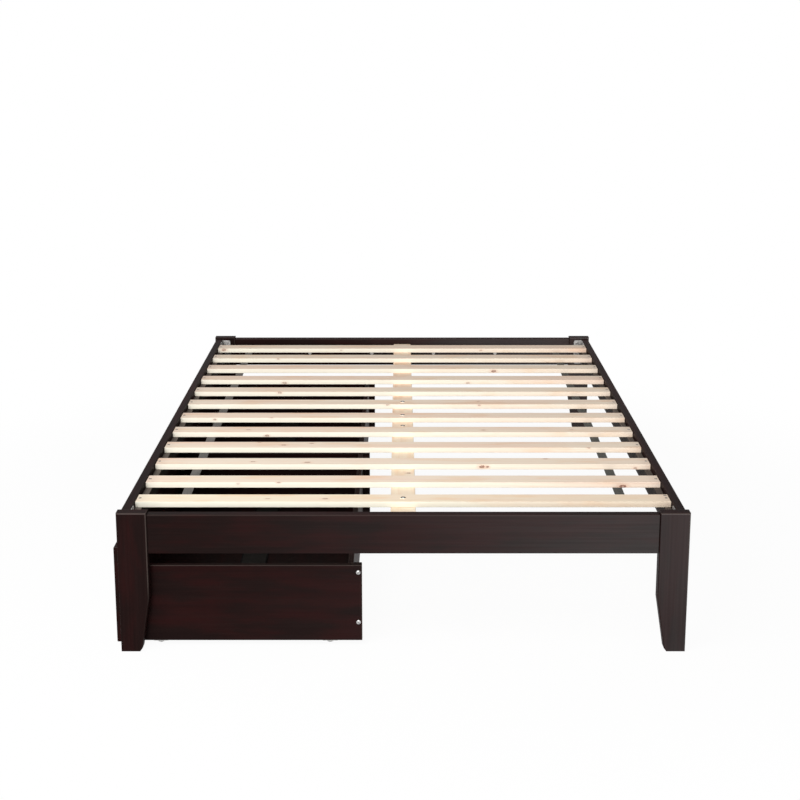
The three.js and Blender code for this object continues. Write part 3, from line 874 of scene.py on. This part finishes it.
# %% The five kinds of head
slat_head = cut_head("slat screw head", dome(3.9, 1.2, 0.3), cross_points(2.1, 0.55), 1.2, 0.9)
cup = [(0, 0), (7.8, 0), (7.8, 1.0), (7.5, 1.5), (7.0, 1.6), (6.6, 1.5), (6.4, 0.25), (3.7, 0.25)]
beam_outline = cup + [(3.7, 0.5), (3.4, 0.7), (0, 0.75)]
beam_head = cut_head("centre bolt head", beam_outline, hexagon_points(1.8), 0.75, 0.4)
drawer_head = cut_head("drawer screw head", dome(6.1, 2.8, 0.8), slot_points(8, 0.75), 2.8, 1.2)
washer = [(0, 0), (7, 0), (7, 0.9), (6.8, 1.1), (5.2, 1.1)]
plate_outline = washer + [(x, 1.1 + z) for x, z in dome(5.2, 2.4, 0.7)[2:]]
plate_head = cut_head("corner bolt head", plate_outline, cross_points(2.9, 0.7), 3.5, 1.6)
small_head = cut_head("bracket screw head", dome(2.4, 1.3, 0.3), cross_points(1.4, 0.4), 1.3, 0.8)

# %% Driving a screw in
dice = random.Random(7)

def drive(name, head, place, outward, material, body="frame"):
    screw = put_in_scene(name, head.copy())
    facing = Vector(outward).to_track_quat("Z", "Y").to_matrix().to_4x4()
    turn = Matrix.Rotation(dice.uniform(0, math.tau), 4, "Z")
    screw.matrix_world = Matrix.Translation(place) @ facing @ turn
    screw.data.materials.append(material)
    screw.data.materials.append(painted_shade_steel)
    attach(screw, body)
    return screw

def count_pieces(*words):
    return sum(all(word in thing.name for word in words) for thing in scene.objects)

# %% [markdown]
# ## Screws in the slats
# One dark screw holds each end of a slat to the ledge. The slat next to the foot has a second one at its
# right end in the photograph. Larger bolts go through three slats into the beam, and one more shows on the
# beam itself between two slats, over a middle leg. Such a bolt sits in a hole with a rim of pushed-up wood.
# The hole looks black behind the bolt with shade, so the faces inside the rim get the painted shade of the
# tool holes, and the rim itself gets the finish of the board that it belongs to.

# %% Slat screws
slat_top = slat_corner[2]
screw_reach = 0.688
second_screw_aside = 0.019
left_end, right_end = bed_middle - screw_reach, bed_middle + screw_reach
for name in slat_names:
    for side, x in (("left", left_end), ("right", right_end)):
        place = (x, slat_middles[name], slat_top)
        drive(f"{name}_screw_{side}", slat_head, place, (0, 0, 1), dull_steel)
place = (right_end, slat_middles["slat_12"] + second_screw_aside, slat_top)
drive("slat_12_screw_right_2", slat_head, place, (0, 0, 1), dull_steel)
print("slat screws:", count_pieces("slat", "_screw_"))

# %% A cup painted dark with shade round a bright bolt
bolt_radius = 0.0038
cup_radius = 0.0068

def paint_shade_in_cup(bolt, wood):
    bolt.data.materials.append(wood)
    for face in bolt.data.polygons:
        away = face.center.xy.length
        face.material_index = 0 if away < bolt_radius else 1 if away < cup_radius else 2

# %% Centre bolts
beam_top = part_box("centre_beam")[1][2]
bolt_row = middle_of("centre_leg_1")[1]
bolted = ("slat_06", "slat_07", "slat_12")
bolts = [(f"{name}_centre_bolt", name, slat_middles[name], slat_top) for name in bolted]
bolts += [(f"beam_bolt_{i}", "centre_beam", y, beam_top) for i, y in ((1, bolt_row), (2, -bolt_row))]
for name, board, y, top in bolts:
    bolt = drive(name, beam_head, (bed_middle, y, top), (0, 0, 1), polished_steel)
    paint_shade_in_cup(bolt, nodes[board].data.materials[0])
print("beam bolts at y =", round(bolt_row, 4), "and", round(-bolt_row, 4))

# %% [markdown]
# ## Screws in the drawers
# Two bright slotted screws go through each drawer side into the corner block of the drawer's back, and
# small ones hold the wheel brackets from below. They ride on their drawer, so they come out with it.

# %% Drawer screws
screw_from_back = 0.0094
screw_heights = {"upper": 0.1876, "lower": 0.0507}
for drawer in (1, 2):
    for side in ("foot", "head"):
        low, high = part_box(f"drawer_{drawer}_side_{side}")
        y, outward = (low[1], -1) if side == "foot" else (high[1], 1)
        for place_name, up in screw_heights.items():
            place = (high[0] - screw_from_back, y, low[2] + up)
            name = f"drawer_{drawer}_screw_{side}_{place_name}"
            drive(name, drawer_head, place, (0, outward, 0), bright_steel, f"drawer_{drawer}")
print("drawer screws:", count_pieces("drawer", "_screw_"))

# %% Bracket screws
flange_thickness = 0.0016
screw_aside = 0.0156
for drawer in (1, 2):
    for number in (1, 2, 3, 4):
        x, y = middle_of(f"drawer_{drawer}_wheel_{number}")[:2]
        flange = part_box(f"drawer_{drawer}_wheel_bracket_{number}")[1][2] - flange_thickness
        for letter, aside in (("a", -screw_aside), ("b", screw_aside)):
            place = (x + aside, y, flange)
            name = f"drawer_{drawer}_bracket_screw_{number}_{letter}"
            drive(name, small_head, place, (0, 0, -1), bright_steel, f"drawer_{drawer}")
print("bracket screws:", count_pieces("_bracket_screw_"))

# %% [markdown]
# ## Bolts in the corner plates
# Each steel corner plate is an angle with four holes: two over the leg and two over the side rail. A bolt
# with a washer sits in each. The plate's box says where its bend and its two faces are.

# %% Corner bolts
plate_thickness = 0.0025
bolt_from_end = 0.021
leg_bolt_from_bend = 0.01675
rail_bolt_from_bend = 0.03125
for plate in sorted(n for n in nodes if n.startswith("corner_plate")):
    low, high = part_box(plate)
    end = -1 if "foot" in plate else 1
    inward = 1 if "left" in plate else -1
    bend_x = low[0] if inward > 0 else high[0]
    bend_y = low[1] if end < 0 else high[1]
    for place_name, z in (("lower", low[2] + bolt_from_end), ("upper", high[2] - bolt_from_end)):
        on_leg = (bend_x + inward * leg_bolt_from_bend, bend_y - end * plate_thickness, z)
        on_rail = (bend_x + inward * plate_thickness, bend_y - end * rail_bolt_from_bend, z)
        for arm, place, outward in (("leg", on_leg, (0, -end, 0)), ("rail", on_rail, (inward, 0, 0))):
            name = f"{plate}_bolt_{arm}_{place_name}"
            drive(name, plate_head, place, outward, plate_steel)
print("corner bolts:", count_pieces("corner_plate", "_bolt_"))

# %% [markdown]
# ## Caps in the head rail
# Four small pale caps close the bolt holes along the head rail, where a headboard could be fixed. A cap is
# a low dome with a thin rim, spun from its outline like the screws. They are on both faces of the rail.

# %% Caps
cap_rim = [(6, 0), (6.2, 0.3), (6, 0.7), (5.3, 0.9), (4.9, 0.8)]
cap_outline = [(0, 0)] + cap_rim + [(4.4, 1.0), (2.4, 1.5), (0, 1.6)]
cap_mesh = spin_outline("cap", cap_outline)
smooth_in_metres(cap_mesh, 40)
caps_across = (-0.3583, -0.1178, 0.1217, 0.3608)
cap_height = 0.0465
rail_low, rail_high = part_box("rail_head")
for number, across in enumerate(caps_across, 1):
    for face_name, y, outward in (("inner", rail_low[1], -1), ("outer", rail_high[1], 1)):
        place = (bed_middle + across, y, rail_low[2] + cap_height)
        name = f"head_rail_cap_{face_name}_{number}"
        drive(name, cap_mesh, place, (0, outward, 0), cap_plastic)
print("caps:", count_pieces("head_rail_cap_"))

# %% [markdown]
# ## Webbing
# Two flat straps of webbing run under the slats and keep them evenly spaced. A strap is a long thin ribbon,
# so it is modelled directly: one flat outline is carried along the path. Between two slats it hangs down by
# a little over a millimetre, and under a slat it is pulled flat.
# The weave is too fine for mesh. It is drawn in the shader instead: ribs along the strap, crossed by weft
# threads that go over one rib and under the next.

# %% Group: webbing weave
weave_group, inputs = new_group(
    "webbing weave", {"Vector": (0, 0, 0), "Rib": 0.0021, "Thread": 0.0016, "Deep": grey, "High": grey})

def swell(count):
    return maths("ABSOLUTE", maths("SINE", times(count, math.pi)))

spot = axes(inputs["Vector"])
rib_count = maths("DIVIDE", spot["X"], inputs["Rib"])
every_other = maths("MODULO", maths("FLOOR", rib_count), 2.0)
thread_count = maths("DIVIDE", spot["Y"], inputs["Thread"])
thread_count = maths("ADD", thread_count, times(every_other, 0.5))
fuzz = noise(inputs["Vector"], (2600, 900, 2600))
woven = times(swell(rib_count), maths("ADD", times(swell(thread_count), 0.6), 0.4))
height = maths("MULTIPLY_ADD", fuzz, 0.3, woven)

# %% Colour of the threads
shade = times(woven, remap(fuzz, 0.2, 0.8, 0.75, 1.1))
thread = blend(shade, inputs["Deep"], inputs["High"])
rub_noise = noise(inputs["Vector"], (30, 12, 30), detail=3)
rubbed = remap(rub_noise, 0.45, 0.7, 0.0, 0.35)
brighter = blend(1.0, inputs["High"], (1.25, 1.25, 1.25), "MULTIPLY")
thread = blend(rubbed, thread, brighter)
rough = remap(height, 0.2, 1.0, 0.85, 0.7)
put_out(weave_group, {"Color": thread, "Roughness": rough, "Height": height})

# %% Webbing finish
def webbing_finish(name, deep, high):
    values = {"Deep": deep, "High": high}
    return even_finish(name, weave_group, values, 0.6, 0.0004, {"Specular IOR Level": 0.1})

# %% The ribbon's outline and path
strap_width = 0.026
strap_thickness = 0.0015
hang = 0.0014
flat_reach = 0.0286
hang_reach = 0.0484
half = strap_width / 2
edge_round = strap_thickness / 2

def strap_height(y, top):
    middle = min(slat_middles.values(), key=lambda m: abs(m - y))
    beyond = max(0.0, abs(y - middle) - flat_reach)
    share = min(1.0, beyond / hang_reach)
    return top - edge_round - hang * share * (2 - share)

def ribbon_outline():
    steps = 6
    turn = [math.pi * (i / steps - 0.5) for i in range(steps + 1)]
    right = [(half - edge_round + edge_round * math.cos(a), edge_round * math.sin(a)) for a in turn]
    flats = [half * f for f in (0.6, 0.2, -0.2, -0.6)]
    left = [(-x, -z) for x, z in right]
    return right + [(x, edge_round) for x in flats] + left + [(-x, -edge_round) for x in flats]

# %% Straps
# A strap drifts a little to the side on its way. Each place lies between two drifts, so the way ends just
# before the last of them.
strap_step = 0.004
most_drift = 0.0005
drifts = 14
last_drift = 12.99

def make_strap(name, node, material):
    low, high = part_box(node)
    centre = middle_of(node)[0]
    steps = int((high[1] - low[1]) / strap_step)
    dice = random.Random(name)
    drift = [dice.uniform(-most_drift, most_drift) for _ in range(drifts)]
    shape = bmesh.new()
    rings = []
    for i in range(steps + 1):
        y = low[1] + (high[1] - low[1]) * i / steps
        spot = last_drift * i / steps
        first = int(spot)
        sway = drift[first] + (drift[first + 1] - drift[first]) * (spot - first)
        z = strap_height(y, high[2])
        rings.append([shape.verts.new((centre + sway + dx, y, z + dz)) for dx, dz in ribbon_outline()])
    for before, after in zip(rings, rings[1:]):
        bridge(shape, before, after)
    shape.faces.new(rings[0][::-1])
    shape.faces.new(rings[-1])
    for face in shape.faces:
        face.smooth = True
    mesh = to_mesh(name, shape)
    mesh.set_sharp_from_angle(angle=math.radians(50))
    mesh.materials.append(material)
    return put_in_scene(name, mesh)

# %% Both straps take the place of the imported ones
# The left strap is painted lighter and the right one darker: painted light from the key lamp at the near
# left.
webbing = {
    "left": webbing_finish("webbing left", (0.055, 0.052, 0.050), (0.19, 0.18, 0.172)),
    "right": webbing_finish("webbing right", (0.040, 0.040, 0.038), (0.135, 0.140, 0.132)),
}
for side, finish in webbing.items():
    strap = make_strap(f"webbing_{side}", f"strap_{side}", finish)
    low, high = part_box(f"strap_{side}")
    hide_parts(f"strap_{side}")
    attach(strap, "frame")
    print(strap.name, len(strap.data.polygons), "faces")

# %% [markdown]
# ## Staples
# Two staples hold the webbing under each slat. Only their crowns show, and only from below. A crown is a
# short bent wire: a curve with a round bevel, turned into mesh so that it is a plain piece like the others.

# %% Staples
wire_radius = 0.0004
staple_aside = 0.012

def make_staples(name, node):
    centre = middle_of(node)[0]
    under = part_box(node)[1][2] - strap_thickness
    wires = bpy.data.curves.new(name, "CURVE")
    wires.dimensions = "3D"
    wires.bevel_depth = wire_radius
    wires.bevel_resolution = 2
    wires.use_fill_caps = True
    bend = [(-5, 0.9), (-5, 0.1), (-4.7, -0.25), (-4.3, -0.4)]
    bends = bend + [(-x, z) for x, z in bend[::-1]]
    for middle in slat_middles.values():
        for aside in (-staple_aside, staple_aside):
            y = middle + aside
            wire = wires.splines.new("POLY")
            wire.points.add(len(bends) - 1)
            for point, (dx, dz) in zip(wire.points, bends):
                point.co = (centre + dx / 1000, y, under + dz / 1000, 1)
    bent = put_in_scene(name, wires)
    mesh = bpy.data.meshes.new_from_object(bent.evaluated_get(bpy.context.evaluated_depsgraph_get()))
    bpy.data.objects.remove(bent)
    mesh.materials.clear()
    mesh.materials.append(bright_steel)
    staples = put_in_scene(name, mesh)
    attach(staples, "frame")
    return staples

for side in ("left", "right"):
    staples = make_staples(f"staples_{side}", f"strap_{side}")
    print(staples.name, len(staples.data.polygons), "faces")

# %% Measure the visual box and finish
low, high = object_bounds()
print("visual box", [round(b - a, 4) for a, b in zip(low, high)])
